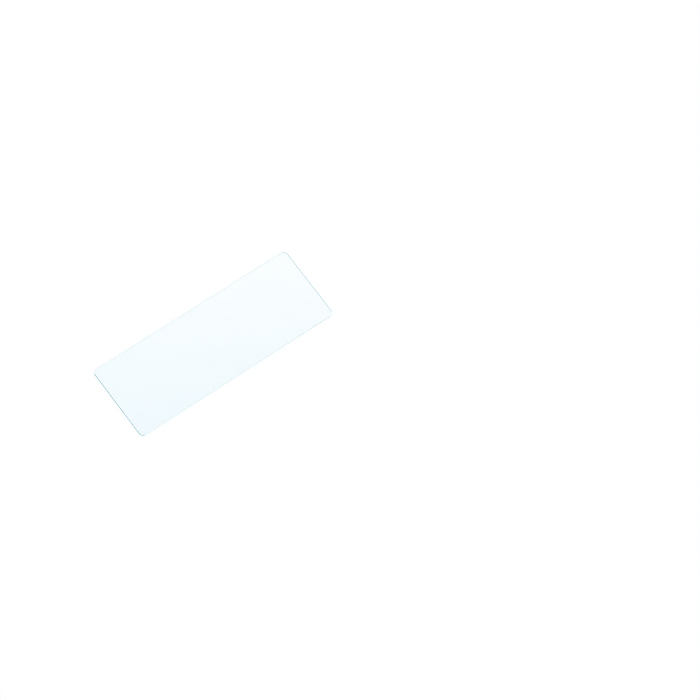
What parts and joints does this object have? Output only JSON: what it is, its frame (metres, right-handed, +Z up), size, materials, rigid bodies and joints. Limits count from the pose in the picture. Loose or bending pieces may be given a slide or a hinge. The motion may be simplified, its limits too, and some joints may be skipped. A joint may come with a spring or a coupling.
{
  "type": "microscope slide",
  "caption": "Clear glass plate with polished faces, satin ground edges and clipped corners, for carrying a specimen under a microscope.",
  "frame": {"origin": "centre of the underside, the face that lies on the stage", "axes": "+X along the slide's length, +Y across its width, +Z up through its thickness"},
  "size_m": [0.076, 0.026, 0.001],
  "materials": {
    "clear_glass": "clear soda-lime glass with a faint blue-green tint, polished faces and satin ground edges"
  },
  "bodies": {
    "root": {"glass_slide": "clear_glass"}
  },
  "joints": []
}
